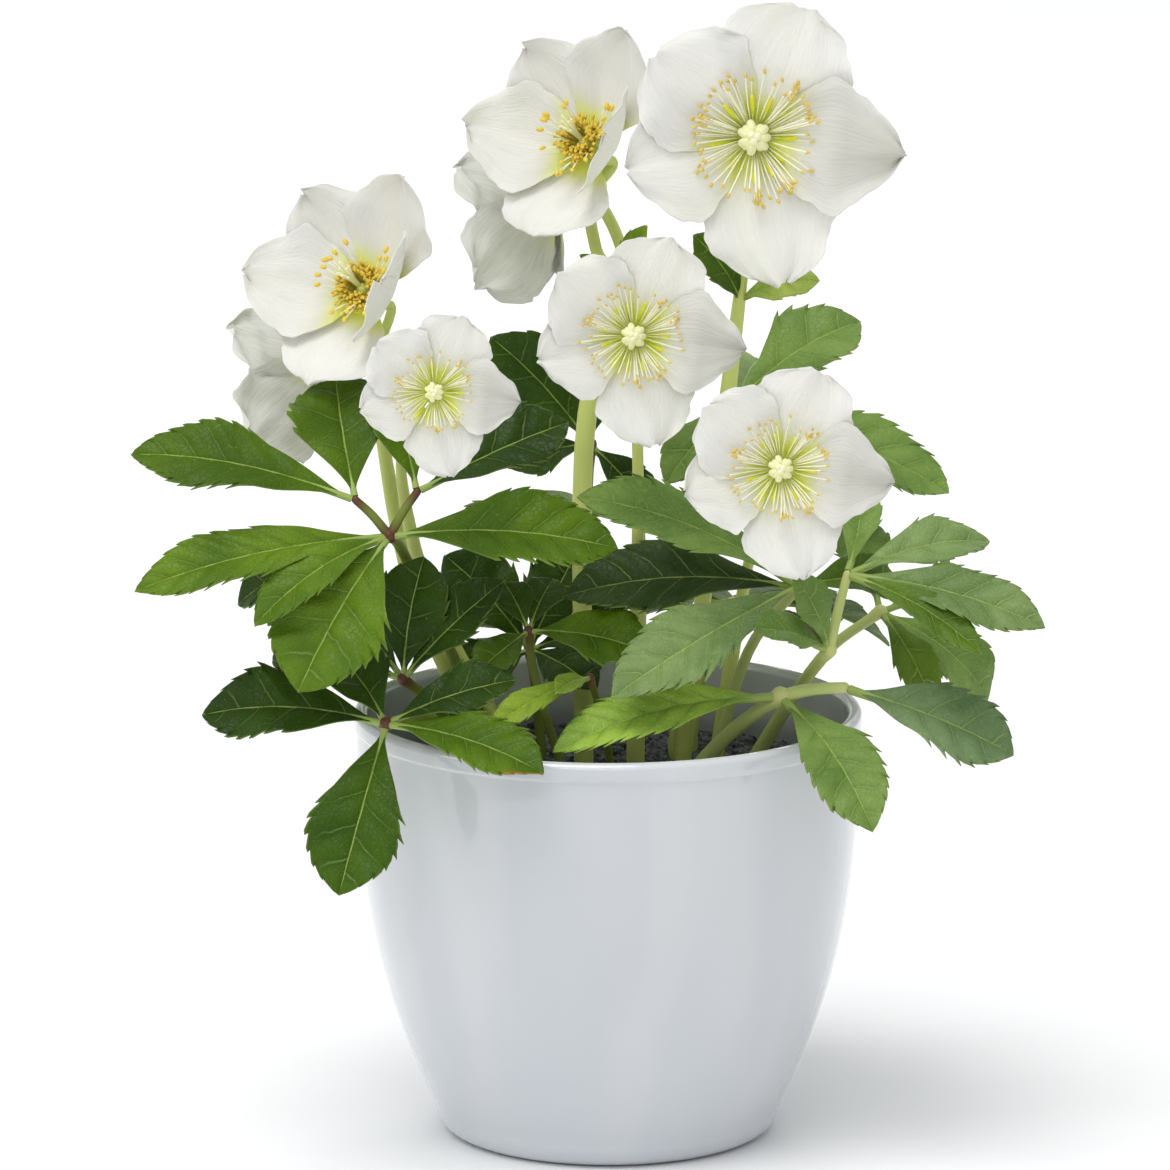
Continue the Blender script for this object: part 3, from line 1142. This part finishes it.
def make_soil(crumbs):
    """The soil: a low uneven mound, with crumbs on it."""
    edge = inner_radius(SOIL_TOP) - SOIL_GAP
    top = [(edge * t, SOIL_TOP + SOIL_MOUND * (1 - t)) for t in np.linspace(0, 1, 40)]
    wall = [(inner_radius(z) - SOIL_GAP, z) for z in np.linspace(SOIL_TOP, INSIDE_FOOT, 12)[1:]]
    low = FLOOR + 0.0003
    corner = (inner_radius(INSIDE_FOOT) - FLOOR_SLOPE - SOIL_GAP, low)
    obj = turned("soil_body", [*top, *wall, corner, (0, low)])
    for vert in obj.data.vertices:
        x, y, z = vert.co
        if z > SOIL_TOP - 0.0005:
            inward = min(1, (edge - math.hypot(x, y)) / 0.004)
            lumps = [high * noise.noise(Vector((x, y, layer)) * scale) for high, scale, layer in SOIL_LUMPS]
            vert.co.z += inward * sum(lumps)
    crumbs.use(obj, Density=190000.0, Smallest=0.00045, Largest=0.0019, Seed=SEED)
    settle(obj, "soil")


def set_stage():
    """A pale floor, a pale room, soft rectangular lamps and a wide daylight."""
    bpy.ops.mesh.primitive_plane_add(size=12, location=(0, 0, -0.0003))
    floor = bpy.context.object
    floor.name = "floor"
    floor.data.materials.append(floor_finish())
    world = bpy.data.worlds.new("studio")
    world.use_nodes = True
    sky = world.node_tree.nodes["Background"]
    sky.inputs["Color"].default_value = (0.96, 0.98, 1.0, 1)
    sky.inputs["Strength"].default_value = 0.56
    bpy.context.scene.world = world
    bpy.context.scene.view_settings.view_transform = "Standard"
    for name, place, width, height, power in (
        ("key", (-0.3, -1.9, 1.4), 1.5, 0.07, 5),
        ("side", (-1.7, -0.5, 0.8), 0.4, 1.0, 3),
        ("rear", (0.5, 1.9, 1.2), 1.4, 0.5, 5),
    ):
        lamp = bpy.data.lights.new(name, "AREA")
        lamp.shape = "RECTANGLE"
        lamp.size, lamp.size_y = width, height
        lamp.energy = power
        stand = add(name, lamp)
        stand.location = place
        stand.rotation_euler = (Vector((0, 0, 0.2)) - Vector(place)).to_track_quat("-Z", "Y").to_euler()
    daylight = bpy.data.lights.new("daylight", "SUN")
    daylight.energy = 1.65
    daylight.angle = math.radians(40)
    add("daylight", daylight).rotation_euler = (math.radians(14), math.radians(-12), 0)


def set_camera():
    """The photograph's view: a long lens, a little above the pot."""
    elevation = math.radians(12.2)
    target = Vector((-0.0076, 0, 0.184))
    distance = 3.0
    back = Vector((0, -math.cos(elevation), math.sin(elevation)))
    lens = bpy.data.cameras.new("camera")
    lens.lens = 280
    lens.sensor_width = 36
    lens.clip_start, lens.clip_end = 0.1, 50
    camera = add("camera", lens)
    camera.location = target + back * distance
    camera.rotation_euler = (-back).to_track_quat("-Z", "Y").to_euler()
    bpy.context.scene.camera = camera


def grow_plant():
    """Every leaf, stem and bloom, each from its own draw of small differences."""
    stalk, thread, sepal = stalk_finish(), stamen_finish(), sepal_finish()
    glossy = stalk_rule(leaf_finish("leaf_glossy", 0.20, 0.28, 0.26), stalk)
    dull = stalk_rule(leaf_finish("leaf_dull", 0.36, 0.36, 0.46), stalk)
    nectaries, stamens = stalk_rule(thread, thread), stamen_rule(thread)
    placed = [(leaf, FRONT_LIGHT) for leaf in FRONT_LEAVES] + list(rear_leaves())
    for number, (leaf, light) in enumerate(placed):
        make_leaf(leaf, light, glossy if leaf.root[0] < 0 else dull, random.Random(SEED + number))
    make_leaf(SHADE_LEAF, FRONT_LIGHT, glossy, random.Random(SEED + 5))
    for number, stem in enumerate(STEMS):
        make_stem(stem, glossy, random.Random(SEED * 2 + number))
    for number, bloom in enumerate(BLOOMS.values()):
        make_sepals(bloom, sepal, random.Random(SEED * 3 + number))
        make_stamens(bloom, nectaries, stamens, SEED + number)


make_pot(glaze_finish())
make_soil(crumb_rule(soil_finish()))
grow_plant()
set_stage()
set_camera()
